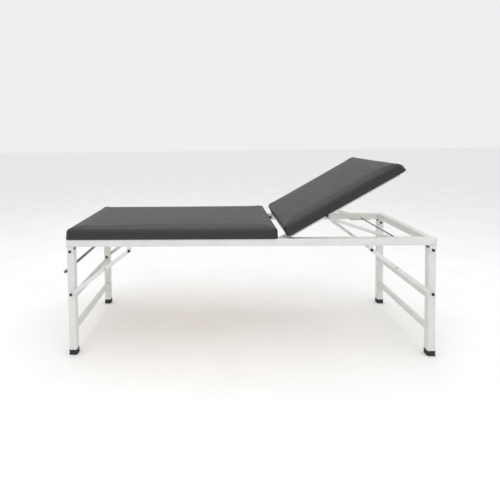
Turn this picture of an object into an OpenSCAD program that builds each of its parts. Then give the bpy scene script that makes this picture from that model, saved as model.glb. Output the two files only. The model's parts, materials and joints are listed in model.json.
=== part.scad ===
// Folding examination couch: a welded tube frame on two folding leg frames, a fixed seat pad,
// and a hinged back pad held up by a U-shaped prop that drops into notched racks.
// Origin: centre of the overall footprint, on the floor. +X is the head end, +Z is up.

/* [Frame] */
// Length of the frame over its end rails
frame_length = 1900; // [1700:5:2300]
// Width of the frame over its side rails
frame_width = 650; // [540:5:780]
// Height of the top of the rails above the floor
frame_height = 612; // [510:1:740]
// Outside size of the square rail tube
rail_size = 38; // [32:1:46]
// Wall of the rail tube
rail_wall = 2; // [1.5:0.1:3]
// Outside size of the square cross rails and leg crossbars
cross_size = 25; // [20:1:30]
// Wall of the cross rails and leg crossbars
cross_wall = 1.5; // [1:0.1:2.5]
// Distance from the foot end to the middle cross rail
mid_rail_from_foot = 550; // [400:5:700]

/* [Pads] */
// Thickness of both pads, board included
pad_thickness = 60; // [45:1:80]
// How far the pads stand out past the side rails
pad_side_overhang = 7.5; // [0:0.5:15]
// How far the seat pad stands out past the foot end
pad_foot_overhang = 8; // [0:0.5:15]
// Corner radius of the pads seen from above
pad_corner_r = 28; // [10:1:60]
// Radius of the pads' upper edges
pad_edge_r = 20; // [10:1:30]
// Radius of the back pad's upper edge at the head end
head_edge_r = 42; // [20:1:50]
// Thickness of the plywood boards inside the pads
board_thickness = 12; // [9:1:18]
// How far the boards stay inside the pads' outline
board_inset = 12; // [8:1:30]
// Distance from the backrest hinge to the end of the seat pad
seat_pad_to_hinge = 32; // [28:1:60]
// Distance from the backrest hinge to the start of the back pad
back_pad_to_hinge = 18; // [15:1:40]
// Length of the back pad
back_pad_length = 693; // [600:1:720]

/* [Legs] */
// Outside size of the square leg tube
leg_size = 38; // [30:1:44]
// Wall of the leg tube
leg_wall = 2; // [1.5:0.1:3]
// Distance from the ends of the frame to the legs
leg_inset = 3; // [0:0.5:20]
// Height of the upper leg crossbar above the floor
upper_crossbar_height = 303; // [260:1:330]
// Height of the lower leg crossbar above the floor
lower_crossbar_height = 132; // [80:1:200]
// Height of the rubber tips
tip_height = 27; // [20:1:40]
// Wall of the rubber tips
tip_wall = 2.5; // [2:0.1:4]
// Thickness of rubber under the legs
tip_floor = 5; // [3:0.5:8]
// Thickness of the leg brackets' plate
bracket_plate = 3; // [2:0.5:4]
// Width of the leg brackets' ears
bracket_width = 34; // [26:1:38]
// Diameter of the leg, brace and prop pivots
bolt_d = 8; // [6:1:10]

/* [Paper roll bar] */
// Diameter of the bar
roll_bar_d = 16; // [12:1:25]
// Distance from the leg pivots down to the bar
roll_bar_drop = 107; // [60:1:160]
// Gap between the bar and the legs
roll_bar_gap = 2; // [2:0.5:10]

/* [Folding braces] */
// Distance from the leg pivot down to the brace's bolt on the leg
brace_leg_drop = 226; // [200:1:235]
// Distance from the leg pivot along the rail to the brace's upper pivot
brace_reach = 310; // [300:1:320]
// Distance from the underside of the rail down to the brace's upper pivot
brace_rail_drop = 18; // [15:0.5:20]
// Length of the lower link between its pivots
lower_link_length = 230; // [226:1:233]
// Width of the links
link_width = 20; // [16:1:24]
// Thickness of the links
link_thickness = 4; // [3:0.5:5]
// Diameter of the knee rivets
knee_rivet_d = 6; // [5:0.5:8]

/* [Backrest] */
// Angle of the backrest above flat
backrest_angle = 29.4; // [0:0.1:45]
// Distance from the head end of the frame back to the hinge
hinge_from_head = 763; // [740:1:780]
// Outside size of the square backrest tube
back_tube_size = 25; // [20:1:28]
// Wall of the backrest tube
back_tube_wall = 1.5; // [1:0.1:2.5]
// Reach of the backrest frame past its hinge
back_frame_reach = 681; // [640:1:690]
// Gap between the side rails and the backrest frame
back_frame_gap = 12; // [11:0.5:20]
// Diameter of the hinge studs
hinge_d = 10; // [8:1:12]

/* [Prop] */
// Distance from the hinge along the backrest to the prop's pivot
prop_pivot_reach = 254; // [230:1:260]
// Distance from the hinge line down to the prop's pivot
prop_pivot_drop = 19; // [19:0.5:24]
// Length of the prop between its pivot and its rod
prop_length = 400; // [385:1:410]
// Width of the prop's arms
prop_arm_width = 17; // [14:1:18]
// Thickness of the prop's arms
prop_arm_thickness = 4; // [3:0.5:4.5]
// Diameter of the prop's rod
prop_rod_d = 8; // [6:0.5:9]
// Thickness of the notched racks
rack_thickness = 4; // [3:0.5:5]
// Depth of the notches
notch_depth = 3; // [2:0.5:4]
// Highest backrest angle that the racks allow
backrest_max = 45; // [40:1:45]

/* [Hidden] */
$fn = 48;

// Clearances: a pin that turns in its hole, a bolt in a plain hole, and two bodies side by side
running = 0.08;
hole_slack = 0.1;
side_gap = 0.3;
plate_gap = 0.4;
steel_r = 4;         // outside corner radius of the square tubes
small_steel_r = 2.5; // the same for the 25 mm tubes

rail_half = frame_width / 2;
frame_half = frame_length / 2;
rail_bottom = frame_height - rail_size;
rail_inner = rail_half - rail_size;
roll_bar_reach = leg_size / 2 + roll_bar_gap + roll_bar_d / 2; // from the leg's centre line
// The roll bar stands out past the foot end, so the frame sits half of that towards the head end
frame_shift = (roll_bar_reach + roll_bar_d / 2 - leg_size / 2 - leg_inset) / 2;

// Leg pivot, seen from the side
leg_x = frame_half - leg_inset - leg_size / 2;
leg_fold_gap = 1; // between a folded leg and its bracket
pivot_z = rail_bottom - bracket_plate - leg_fold_gap - leg_size / 2;
leg_y = rail_half - rail_size / 2;
bolt_head_h = 5.3;
bolt_head_af = 13;
nut_h = 6.5;
ear_outer = leg_y + leg_size / 2 + plate_gap + bracket_plate; // outside of the outer ear
ear_inner = leg_y - leg_size / 2 - plate_gap - bracket_plate; // outside of the inner ear

// Brace: bolt on the leg, pivot on the rail, and the knee on the line between them
brace_foot = [leg_x, pivot_z - brace_leg_drop];
brace_top = [leg_x - brace_reach, rail_bottom - brace_rail_drop];
brace_span = norm(brace_top - brace_foot);
brace_dir = (brace_top - brace_foot) / brace_span;
brace_angle = atan2(brace_dir[1], brace_dir[0]);
knee = brace_foot + brace_dir * lower_link_length;
upper_link_length = brace_span - lower_link_length;
link_standoff = 2.6; // from the leg's face to the lower link
lower_link_y = rail_half + link_standoff;
upper_link_y = lower_link_y + link_thickness + side_gap;
rivet_head_h = 1.8;
lug_thickness = 4;
lug_relief = 0.6; // keeps the hanging part of the lug off a folded leg
lug_r = 11;
lug_weld_h = 10;

// Backrest hinge, seen from the side
hinge = [frame_half - hinge_from_head, frame_height - back_tube_size / 2 + 0.5];
back_top = back_tube_size / 2; // top of the backrest tubes above the hinge line
back_outer = rail_inner - back_frame_gap;
back_tail = 12; // the side tubes run this far past the hinge
seat_end = hinge[0] - seat_pad_to_hinge;
pad_half = rail_half + pad_side_overhang;

// Prop: side positions, and the rod's path as the backrest turns
prop_lug_thickness = 3;
prop_arm_y = back_outer + prop_lug_thickness + 0.5;
rack_y = rail_inner - rack_thickness;
rod_gap = 1; // between the rod and the backrest's tubes when it lies flat
rod_z = hinge[1] - back_top - rod_gap - prop_rod_d / 2;
rack_drop = 6; // the racks hang this far below the rails
function turn(p, a) = [p[0] * cos(a) - p[1] * sin(a), p[0] * sin(a) + p[1] * cos(a)];
function prop_pivot(a) = hinge + turn([prop_pivot_reach, -prop_pivot_drop], a);
function true_prop_angle(a) = asin((prop_pivot(a)[1] - rod_z) / prop_length);
prop_rate = (true_prop_angle(backrest_max) - true_prop_angle(0)) / backrest_max;
function prop_angle(a) = true_prop_angle(backrest_angle) + prop_rate * (a - backrest_angle);
function rod_at(a) = prop_pivot(a) + prop_length * [cos(prop_angle(a)), -sin(prop_angle(a))];
notch_angles = [0, 22, backrest_angle, 36, 41, backrest_max];

// ---------- general shapes ----------

module rounded_square(w, h, r) {
    square([w - 2 * r, h], center = true);
    square([w, h - 2 * r], center = true);
    for (x = [-1, 1], y = [-1, 1]) translate([x * (w / 2 - r), y * (h / 2 - r)]) circle(r);
}

module tube_section(size, wall, r) {
    difference() {
        rounded_square(size, size, r);
        square(size - 2 * wall, center = true);
    }
}

// Square tube along +X, centred on the axis
module tube_x(length, size, wall, r) {
    rotate([90, 0, 90]) linear_extrude(length) tube_section(size, wall, r);
}

// Square tube along Y, centred on the origin
module tube_y(length, size, wall, r) {
    rotate([90, 0, 0]) linear_extrude(length, center = true) tube_section(size, wall, r);
}

// A flat shape drawn in X and Z, standing from y_inner outwards on the near side
module side_plate(y_inner, thickness) {
    translate([0, -y_inner, 0]) rotate([90, 0, 0]) linear_extrude(thickness) children();
}

// A round pin along Y on the near side, from y_inner outwards
module side_pin(p, y_inner, length, d) {
    translate([p[0], -y_inner, p[1]]) rotate([90, 0, 0]) cylinder(length, d = d);
}

module hex_head(p, y_inner, h, af) {
    translate([p[0], -y_inner, p[1]]) rotate([90, 0, 0]) cylinder(h, d = af / cos(30), $fn = 6);
}

module hex_nut(p, y_inner, h, af, d) {
    difference() {
        hex_head(p, y_inner, h, af);
        side_pin(p, y_inner - 1, h + 2, d);
    }
}

// Flat bar with round ends and a hole at each end, along +X
module link_shape(length, width, hole_start, hole_end) {
    difference() {
        union() {
            translate([0, -width / 2]) square([length, width]);
            circle(d = width);
            translate([length, 0]) circle(d = width);
        }
        circle(d = hole_start);
        translate([length, 0]) circle(d = hole_end);
    }
}

// Corner cut from a square corner at the origin that points to -X, -Y
module corner_cut(r) {
    difference() {
        translate([-1, -1]) square(r + 1);
        translate([r, r]) circle(r);
    }
}

// Rectangle from the origin, with its own radius at each corner, going round from the origin
module soft_rect(w, h, r) {
    difference() {
        square([w, h]);
        corner_cut(r[0]);
        translate([w, 0]) mirror([1, 0]) corner_cut(r[1]);
        translate([w, h]) mirror([1, 0]) mirror([0, 1]) corner_cut(r[2]);
        translate([0, h]) mirror([0, 1]) corner_cut(r[3]);
    }
}

// Pad from X = 0 to its length, with its underside at Z = 0 and a pocket for its board
module pad(length, end_r, far_r) {
    foot_r = 6; // lower edges
    difference() {
        intersection() {
            rotate([90, 0, 0]) linear_extrude(3 * pad_half, center = true)
                soft_rect(length, pad_thickness, [foot_r, foot_r, far_r, end_r]);
            translate([-1, -pad_half, 0]) rotate([90, 0, 90]) linear_extrude(length + 2)
                soft_rect(2 * pad_half, pad_thickness, [foot_r, foot_r, pad_edge_r, pad_edge_r]);
            translate([0, -pad_half, 0]) linear_extrude(pad_thickness)
                soft_rect(length, 2 * pad_half, [for (i = [0:3]) pad_corner_r]);
        }
        board(length);
        translate([0, 0, -1]) board(length);
    }
}

module board(length) {
    translate([board_inset, board_inset - pad_half, 0])
        cube([length - 2 * board_inset, 2 * (pad_half - board_inset), board_thickness]);
}

// ---------- placing ----------

// The frame's own centre, moved so that the whole couch is centred on the origin
module placed() {
    translate([frame_shift, 0, 0]) children();
}

// Drawn for the near side of the head end, shown at any corner
module at_corner(end, side) {
    placed() mirror([end == "foot" ? 1 : 0, 0, 0]) mirror([0, side == "far" ? 1 : 0, 0]) children();
}

// Drawn flat, shown raised about the hinge; X runs from the hinge, Z from the hinge line
module on_backrest() {
    placed() translate([hinge[0], 0, hinge[1]]) rotate([0, -backrest_angle, 0]) children();
}

module both_sides() {
    children();
    mirror([0, 1, 0]) children();
}

// ---------- frame ----------

module side_rail(side) {
    color("gainsboro") at_corner("head", side) intersection() {
        translate([-frame_half, rail_size / 2 - rail_half, frame_height - rail_size / 2])
            tube_x(frame_length, rail_size, rail_wall, steel_r);
        translate([0, 0, rail_bottom - 1]) linear_extrude(rail_size + 2) polygon([
            [-frame_half, -rail_half], [frame_half, -rail_half],
            [frame_half - rail_size, rail_size - rail_half],
            [rail_size - frame_half, rail_size - rail_half]
        ]);
    }
}

module end_rail(end) {
    color("gainsboro") at_corner(end, "near") intersection() {
        translate([frame_half - rail_size / 2, 0, frame_height - rail_size / 2])
            tube_y(frame_width, rail_size, rail_wall, steel_r);
        translate([0, 0, rail_bottom - 1]) linear_extrude(rail_size + 2) polygon([
            [frame_half, -rail_half], [frame_half, rail_half],
            [frame_half - rail_size, rail_half - rail_size],
            [frame_half - rail_size, rail_size - rail_half]
        ]);
    }
}

module cross_rail(x) {
    color("gainsboro") placed() translate([x, 0, frame_height - cross_size / 2])
        tube_y(2 * rail_inner, cross_size, cross_wall, small_steel_r);
}

module cross_rail_mid() cross_rail(mid_rail_from_foot - frame_half);
module cross_rail_hinge() cross_rail(seat_end - cross_size);

module seat_pad() {
    color("dimgray") placed() translate([-frame_half - pad_foot_overhang, 0, frame_height])
        pad(seat_end + frame_half + pad_foot_overhang, pad_edge_r, pad_edge_r);
}

module seat_board() {
    color("burlywood") placed() translate([-frame_half - pad_foot_overhang, 0, frame_height])
        board(seat_end + frame_half + pad_foot_overhang);
}

// U-shaped bracket under the rail; the leg turns between its ears
module leg_bracket(end, side) {
    pivot = [leg_x, pivot_z];
    color("gainsboro") at_corner(end, side) difference() {
        union() {
            translate([leg_x - bracket_width / 2, -ear_outer, rail_bottom - bracket_plate])
                cube([bracket_width, ear_outer - ear_inner, bracket_plate]);
            for (y = [ear_outer - bracket_plate, ear_inner]) side_plate(y, bracket_plate) {
                translate([leg_x, pivot_z]) circle(d = bracket_width);
                translate([leg_x - bracket_width / 2, pivot_z])
                    square([bracket_width, rail_bottom - pivot_z]);
            }
        }
        side_pin(pivot, ear_inner - 1, ear_outer - ear_inner + 2, bolt_d + 2 * hole_slack);
    }
}

module leg_pivot_bolts() {
    pivot = [leg_x, pivot_z];
    color("dimgray") for (end = ["foot", "head"], side = ["near", "far"]) at_corner(end, side) {
        side_pin(pivot, ear_inner - nut_h - 1, ear_outer - ear_inner + nut_h + 1, bolt_d);
        hex_head(pivot, ear_outer, bolt_head_h, bolt_head_af);
        hex_nut(pivot, ear_inner - nut_h, nut_h, bolt_head_af, bolt_d);
    }
}

// Small plates on the outside of the rails that carry the braces
module brace_lugs() {
    color("gainsboro") for (end = ["foot", "head"], side = ["near", "far"]) at_corner(end, side)
        difference() {
            union() {
                side_plate(rail_half + lug_relief, lug_thickness - lug_relief) {
                    translate(brace_top) circle(lug_r);
                    translate([brace_top[0] - lug_r, brace_top[1]])
                        square([2 * lug_r, brace_rail_drop + lug_weld_h]);
                }
                side_plate(rail_half, lug_thickness) translate([brace_top[0] - lug_r, rail_bottom])
                    square([2 * lug_r, lug_weld_h]);
            }
            side_pin(brace_top, rail_half - 1, lug_thickness + 2, bolt_d);
        }
}

module brace_pivot_studs() {
    lug_face = rail_half + lug_thickness;
    cap_y = upper_link_y + link_thickness + side_gap;
    color("dimgray") for (end = ["foot", "head"], side = ["near", "far"]) at_corner(end, side) {
        side_pin(brace_top, rail_half + lug_relief, cap_y - rail_half - lug_relief, bolt_d);
        side_pin(brace_top, lug_face, upper_link_y - side_gap - lug_face, 2 * bolt_d - 2);
        hex_head(brace_top, cap_y, bolt_head_h, bolt_head_af);
    }
}

// Notched rack on the inner face of a side rail; its top follows the path of the prop's rod
module prop_rack(side) {
    under_rod = prop_rod_d / 2 + side_gap;
    steps = 12;
    path = [for (i = [0:steps]) rod_at(backrest_max * i / steps) - [0, under_rod]];
    rack_end = 14; // past the first and last rod position
    rack_bottom = rail_bottom - rack_drop;
    color("gainsboro") at_corner("head", side) side_plate(rack_y, rack_thickness) difference() {
        polygon(concat(
            [[path[0][0] + rack_end, rack_bottom], [path[0][0] + rack_end, path[0][1]]],
            path,
            [[path[steps][0] - rack_end, path[steps][1]], [path[steps][0] - rack_end, rack_bottom]]
        ));
        for (a = notch_angles)
            translate(rod_at(a) - [0, under_rod + notch_depth - prop_rod_d / 2 - side_gap])
                circle(prop_rod_d / 2 + side_gap);
    }
}

module backrest_hinge_studs() {
    collar = rail_inner - back_outer - side_gap;
    nut_y = back_outer - back_tube_size - side_gap - nut_h;
    color("dimgray") placed() both_sides() {
        side_pin(hinge, rail_inner - collar, collar, hinge_d + 8);
        side_pin(hinge, nut_y - 1, rail_inner - nut_y + 1, hinge_d);
        hex_nut(hinge, nut_y, nut_h, hinge_d * 1.7, hinge_d);
    }
}

// ---------- leg frames ----------

module leg(end, side) {
    pivot = [leg_x, pivot_z];
    half = leg_size / 2;
    color("gainsboro") at_corner(end, side) difference() {
        translate([leg_x, -leg_y, tip_floor])
            linear_extrude(pivot_z + half - tip_floor) tube_section(leg_size, leg_wall, steel_r);
        // the inner top corner is rounded so that it clears the bracket as the leg folds
        difference() {
            translate([leg_x - leg_size, -leg_y - leg_size, pivot_z]) cube([leg_size, 2 * leg_size, leg_size]);
            side_pin(pivot, leg_y - leg_size - 1, 2 * leg_size + 2, leg_size);
        }
        side_pin(pivot, leg_y - leg_size, 2 * leg_size, bolt_d + 2 * running);
        side_pin(brace_foot, leg_y - leg_size, 2 * leg_size, bolt_d + 2 * hole_slack);
    }
}

module crossbar(end, z) {
    color("gainsboro") at_corner(end, "near") translate([leg_x, 0, z])
        tube_y(2 * (leg_y - leg_size / 2), cross_size, cross_wall, small_steel_r);
}

module rubber_tip(end, side) {
    outer = leg_size + 2 * tip_wall;
    color("black") at_corner(end, side) translate([leg_x, -leg_y, 0]) difference() {
        linear_extrude(tip_height) rounded_square(outer, outer, steel_r + tip_wall);
        translate([0, 0, tip_floor]) linear_extrude(tip_height)
            rounded_square(leg_size + 0.1, leg_size + 0.1, steel_r);
    }
}

// Bolts that hold the lower links to the legs, with their washers and nuts
module brace_bolts(end) {
    leg_face = leg_y + leg_size / 2;
    nut_y = leg_y - leg_size / 2 - nut_h;
    head_y = lower_link_y + link_thickness + side_gap;
    color("dimgray") for (side = ["near", "far"]) at_corner(end, side) {
        side_pin(brace_foot, nut_y - 1, head_y - nut_y + 1, bolt_d);
        side_pin(brace_foot, leg_face, lower_link_y - side_gap - leg_face, 2 * bolt_d);
        hex_head(brace_foot, head_y, bolt_head_h, bolt_head_af);
        hex_nut(brace_foot, nut_y, nut_h, bolt_head_af, bolt_d);
    }
}

module roll_bar() {
    bar_z = pivot_z - roll_bar_drop;
    reach = rail_half + 2;
    color("gray") at_corner("foot", "near") translate([leg_x + roll_bar_reach, 0, bar_z])
        rotate([90, 0, 0]) cylinder(2 * reach, d = roll_bar_d, center = true);
}

// Blocks between the roll bar and the legs
module roll_bar_saddles() {
    bar_z = pivot_z - roll_bar_drop;
    saddle = 16;
    color("gray") for (side = ["near", "far"]) at_corner("foot", side) difference() {
        translate([leg_x + leg_size / 2, -leg_y - saddle / 2, bar_z - saddle / 2])
            cube([roll_bar_reach - leg_size / 2, saddle, saddle]);
        side_pin([leg_x + roll_bar_reach, bar_z], leg_y - saddle, 2 * saddle, roll_bar_d);
    }
}

// ---------- folding braces ----------

module lower_link(end, side) {
    color("gainsboro") at_corner(end, side) side_plate(lower_link_y, link_thickness)
        translate(brace_foot) rotate(brace_angle)
            link_shape(lower_link_length, link_width, bolt_d + 2 * running, knee_rivet_d);
}

module upper_link(end, side) {
    color("gainsboro") at_corner(end, side) side_plate(upper_link_y, link_thickness)
        translate(brace_top) rotate(brace_angle + 180)
            link_shape(upper_link_length, link_width, bolt_d + 2 * running, knee_rivet_d);
}

// Inner half of each knee rivet, in the lower link
module knee_rivets(end) {
    color("silver") for (side = ["near", "far"]) at_corner(end, side) {
        side_pin(knee, lower_link_y - rivet_head_h, rivet_head_h, 2 * knee_rivet_d);
        side_pin(knee, lower_link_y - rivet_head_h, rivet_head_h + link_thickness, knee_rivet_d);
    }
}

// Outer half of each knee rivet, in the upper link
module knee_caps(end) {
    cap_y = upper_link_y + link_thickness;
    color("silver") for (side = ["near", "far"]) at_corner(end, side) {
        side_pin(knee, upper_link_y, link_thickness, knee_rivet_d);
        side_pin(knee, cap_y, rivet_head_h, 2 * knee_rivet_d);
    }
}

// ---------- backrest ----------

module back_tube(side) {
    color("gainsboro") on_backrest() mirror([0, side == "far" ? 1 : 0, 0]) difference() {
        translate([-back_tail, back_tube_size / 2 - back_outer, 0])
            tube_x(back_frame_reach + back_tail, back_tube_size, back_tube_wall, small_steel_r);
        side_pin([0, 0], back_outer - back_tube_size - 1, back_tube_size + 2, hinge_d + 2 * running);
    }
}

// Cross tubes between the side tubes; x is measured from the hinge to the tube's centre
module back_cross(x) {
    color("gainsboro") on_backrest() translate([x, 0, 0])
        tube_y(2 * (back_outer - back_tube_size), back_tube_size, back_tube_wall, small_steel_r);
}

module back_board() {
    color("burlywood") on_backrest() translate([back_pad_to_hinge, 0, back_top])
        board(back_pad_length);
}

module back_pad() {
    color("dimgray") on_backrest() translate([back_pad_to_hinge, 0, back_top])
        pad(back_pad_length, pad_edge_r, head_edge_r);
}

module prop_lugs() {
    pivot = [prop_pivot_reach, -prop_pivot_drop];
    lug_top = 5; // above the hinge line
    lug_w = 26;
    color("gainsboro") on_backrest() both_sides() side_plate(back_outer, prop_lug_thickness)
        difference() {
            union() {
                translate(pivot) circle(d = prop_arm_width);
                translate([pivot[0] - lug_w / 2, -back_top + 1]) square([lug_w, back_top - 1 + lug_top]);
                translate([pivot[0] - prop_arm_width / 2, pivot[1]])
                    square([prop_arm_width, prop_pivot_drop]);
            }
            translate(pivot) circle(d = bolt_d);
        }
}

module prop_pivot_rivets() {
    pivot = [prop_pivot_reach, -prop_pivot_drop];
    head_d = 12;
    head_h = 2.5;
    cap_y = prop_arm_y + prop_arm_thickness + side_gap;
    color("silver") on_backrest() both_sides() {
        side_pin(pivot, back_outer - head_h, head_h, head_d);
        side_pin(pivot, back_outer - head_h, cap_y - back_outer + head_h, bolt_d);
        side_pin(pivot, cap_y, head_h, head_d);
    }
}

// ---------- prop ----------

module prop_arm(side) {
    color("gainsboro") at_corner("head", side) side_plate(prop_arm_y, prop_arm_thickness)
        translate(prop_pivot(backrest_angle)) rotate(-prop_angle(backrest_angle))
            link_shape(prop_length, prop_arm_width, bolt_d + 2 * running, prop_rod_d);
}

module prop_rod() {
    rod = rod_at(backrest_angle);
    reach = rail_inner - 1;
    color("silver") placed() translate([rod[0], 0, rod[1]]) rotate([90, 0, 0])
        cylinder(2 * reach, d = prop_rod_d, center = true);
}

side_rail("near");  // side_rail_near
side_rail("far");  // side_rail_far
end_rail("foot");  // end_rail_foot
end_rail("head");  // end_rail_head
cross_rail_mid();
cross_rail_hinge();
seat_board();
seat_pad();
leg_bracket("foot", "near");  // leg_bracket_foot_near
leg_bracket("foot", "far");  // leg_bracket_foot_far
leg_bracket("head", "near");  // leg_bracket_head_near
leg_bracket("head", "far");  // leg_bracket_head_far
leg_pivot_bolts();
brace_lugs();
brace_pivot_studs();
prop_rack("near");  // prop_rack_near
prop_rack("far");  // prop_rack_far
backrest_hinge_studs();
leg("foot", "near");  // leg_foot_near
leg("foot", "far");  // leg_foot_far
crossbar("foot", upper_crossbar_height);  // crossbar_foot_upper
crossbar("foot", lower_crossbar_height);  // crossbar_foot_lower
rubber_tip("foot", "near");  // rubber_tip_foot_near
rubber_tip("foot", "far");  // rubber_tip_foot_far
brace_bolts("foot");  // brace_bolts_foot
roll_bar();
roll_bar_saddles();
leg("head", "near");  // leg_head_near
leg("head", "far");  // leg_head_far
crossbar("head", upper_crossbar_height);  // crossbar_head_upper
crossbar("head", lower_crossbar_height);  // crossbar_head_lower
rubber_tip("head", "near");  // rubber_tip_head_near
rubber_tip("head", "far");  // rubber_tip_head_far
brace_bolts("head");  // brace_bolts_head
lower_link("foot", "near");  // lower_link_foot_near
lower_link("foot", "far");  // lower_link_foot_far
upper_link("foot", "near");  // upper_link_foot_near
upper_link("foot", "far");  // upper_link_foot_far
lower_link("head", "near");  // lower_link_head_near
lower_link("head", "far");  // lower_link_head_far
upper_link("head", "near");  // upper_link_head_near
upper_link("head", "far");  // upper_link_head_far
knee_rivets("foot");  // knee_rivets_foot
knee_rivets("head");  // knee_rivets_head
knee_caps("foot");  // knee_caps_foot
knee_caps("head");  // knee_caps_head
back_tube("near");  // back_tube_near
back_tube("far");  // back_tube_far
back_cross(back_pad_to_hinge + back_tube_size);  // back_cross_lower
back_cross(back_frame_reach - back_tube_size / 2);  // back_cross_upper
back_board();
back_pad();
prop_lugs();
prop_pivot_rivets();
prop_arm("near");  // prop_arm_near
prop_arm("far");  // prop_arm_far
prop_rod();
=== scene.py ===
"""Folding examination couch: the looks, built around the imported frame."""
import json
import math

import bmesh
import bpy
from mathutils import Matrix, Vector, noise

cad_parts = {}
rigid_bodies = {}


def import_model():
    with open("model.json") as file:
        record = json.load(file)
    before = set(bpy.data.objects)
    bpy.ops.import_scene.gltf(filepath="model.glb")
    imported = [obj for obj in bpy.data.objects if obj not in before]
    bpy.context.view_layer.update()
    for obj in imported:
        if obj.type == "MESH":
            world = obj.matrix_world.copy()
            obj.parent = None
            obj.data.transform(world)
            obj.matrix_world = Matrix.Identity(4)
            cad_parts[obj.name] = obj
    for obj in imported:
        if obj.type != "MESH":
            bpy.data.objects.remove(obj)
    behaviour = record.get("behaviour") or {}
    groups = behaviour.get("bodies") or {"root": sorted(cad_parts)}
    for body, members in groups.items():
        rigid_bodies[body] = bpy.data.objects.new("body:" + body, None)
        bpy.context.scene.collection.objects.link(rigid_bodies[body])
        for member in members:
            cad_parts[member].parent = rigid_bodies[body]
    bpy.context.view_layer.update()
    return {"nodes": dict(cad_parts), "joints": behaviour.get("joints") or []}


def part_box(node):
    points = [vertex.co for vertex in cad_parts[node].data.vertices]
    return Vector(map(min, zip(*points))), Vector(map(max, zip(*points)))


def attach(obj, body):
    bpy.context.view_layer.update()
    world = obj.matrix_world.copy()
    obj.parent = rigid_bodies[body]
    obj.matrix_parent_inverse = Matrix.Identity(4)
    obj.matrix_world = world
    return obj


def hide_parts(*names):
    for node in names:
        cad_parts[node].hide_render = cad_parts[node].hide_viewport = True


for starter in list(bpy.data.objects):
    bpy.data.objects.remove(starter)
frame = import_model()
MM = 0.001
scene = bpy.context.scene

# ---------- where things are ----------

joints = {j["name"]: j for j in frame["joints"]}


def spot(joint):
    """Where a joint's axis crosses the middle plane: (X, Z) in the couch's own frame, in millimetres."""
    x, _, z = joints[joint]["pos_m"]
    return x / MM, z / MM


# The middle between the two leg pivots; every piece is described for the near side of the head end
middle = (spot("head_leg_fold")[0] + spot("foot_leg_fold")[0]) / 2
leg_x, pivot_z = spot("head_leg_fold")[0] - middle, spot("head_leg_fold")[1]
brace_x, brace_z = spot("head_lower_link_pivot")[0] - middle, spot("head_lower_link_pivot")[1]
lug_x, lug_z = spot("head_upper_link_pivot")[0] - middle, spot("head_upper_link_pivot")[1]
hinge_x, hinge_z = spot("backrest_tilt")[0] - middle, spot("backrest_tilt")[1]
prop_x, prop_z = spot("prop_pivot")[0] - middle, spot("prop_pivot")[1]
tilt = -math.radians(joints["backrest_tilt"]["range_deg"][0])


def low(node):
    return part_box(node)[0] / MM


def high(node):
    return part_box(node)[1] / MM


def outer(node):
    """How far a node reaches from the middle plane, in millimetres."""
    return max(-low(node).y, high(node).y)


rail_half = outer("side_rail_near")
rail_top = high("side_rail_near").z
rail_low = low("side_rail_near").z
rail_size = rail_top - rail_low
leg_size = high("leg_head_near").x - low("leg_head_near").x
leg_y = rail_half - rail_size / 2
back_outer = outer("back_tube_near")
back_tube = 25
back_ends = -12, 681  # where the backrest's side tubes start and end, measured from its hinge
back_pad_start, back_pad_length = 18, 693
brace_span = math.hypot(lug_x - brace_x, lug_z - brace_z)
brace_angle = math.atan2(lug_z - brace_z, lug_x - brace_x)
lower_link = 230
knee_x = brace_x + lower_link * math.cos(brace_angle)
knee_z = brace_z + lower_link * math.sin(brace_angle)


def placed():
    return Matrix.Translation((middle, 0, 0))


def corner(end, side):
    """From a drawing in X and Z with its depth outwards to one corner of the couch."""
    return (placed() @ Matrix.Diagonal((-1 if end == "foot" else 1, -1 if side == "far" else 1, 1, 1))
            @ Matrix.Rotation(math.radians(90), 4, "X"))


def on_backrest():
    """From the backrest lying along X, measured from its hinge, to where it is raised."""
    return placed() @ Matrix.Translation((hinge_x, 0, hinge_z)) @ Matrix.Rotation(-tilt, 4, "Y")


def back_side(side):
    """The same as corner, for the sides of the backrest."""
    return (on_backrest() @ Matrix.Diagonal((1, -1 if side == "far" else 1, 1, 1))
            @ Matrix.Rotation(math.radians(90), 4, "X"))


ENDS = ("foot", "head")
SIDES = ("near", "far")
ALL_CORNERS = ((0, 0), (0, 1), (1, 0), (1, 1))
HEAVY_TUBE = 2, 4  # wall and corner radius of the rails and legs
LIGHT_TUBE = 1.5, 2.5  # and of the cross tubes
FLAT_BAR = 4  # thickness of the brace links and prop arms
GAP = 0.3  # between two plates that turn on each other
WELD = 1.9  # radius of the beads between tubes

# ---------- materials ----------


def linear(code):
    """An sRGB hex colour as linear RGBA."""
    parts = [int(code[i:i + 2], 16) / 255 for i in (1, 3, 5)]
    return [c / 12.92 if c <= 0.04045 else ((c + 0.055) / 1.055) ** 2.4 for c in parts] + [1.0]


def add(tree, kind, sockets=None, stops=(), **settings):
    """Adds a shader node. A socket takes a number, a colour, another node's output, or a node, which means its
    first output. The stops are a colour ramp's (position, colour) pairs."""
    node = tree.nodes.new("ShaderNode" + kind)
    for key, value in settings.items():
        setattr(node, key, value)
    for i, (position, colour) in enumerate(stops):
        node.color_ramp.elements[i].position = position
        node.color_ramp.elements[i].color = colour
    for key, value in (sockets or {}).items():
        if isinstance(value, bpy.types.Node):
            value = value.outputs[0]
        if isinstance(value, bpy.types.NodeSocket):
            tree.links.new(value, node.inputs[key])
        else:
            node.inputs[key].default_value = value
    return node


def start_material(name):
    """A new material, its node tree, and the Object coordinates that its patterns lie on."""
    material = bpy.data.materials.new(name)
    material.use_nodes = True
    material.node_tree.nodes.clear()
    return material, material.node_tree, add(material.node_tree, "TexCoord").outputs["Object"]


def surface(tree, sockets):
    add(tree, "OutputMaterial", {"Surface": add(tree, "BsdfPrincipled", sockets)})


def every(size_mm):
    """The scale of a pattern whose features are this far apart."""
    return 1 / (size_mm * MM)


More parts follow.
